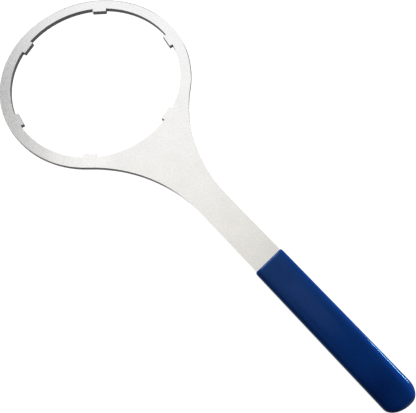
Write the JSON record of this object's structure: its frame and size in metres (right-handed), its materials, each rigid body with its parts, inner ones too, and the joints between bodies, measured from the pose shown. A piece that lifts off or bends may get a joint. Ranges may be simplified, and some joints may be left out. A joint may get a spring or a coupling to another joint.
{
  "type": "filter housing wrench",
  "caption": "Flat steel ring wrench whose inward lugs catch the ribs of a filter bowl, with hollow flanks running into a straight handle and a dipped vinyl grip.",
  "frame": {"origin": "centre of the ring's opening, at half the plate's thickness", "axes": "+X along the handle towards the grip, +Z square to the flat of the plate"},
  "size_m": [0.4502, 0.1714, 0.0066],
  "materials": {
    "steel": "satin, with a fine tumbled grain and dark cut edges",
    "vinyl": "glossy dipped vinyl, navy blue"
  },
  "bodies": {
    "root": {"wrench_plate": "steel", "grip": "vinyl"}
  },
  "joints": []
}
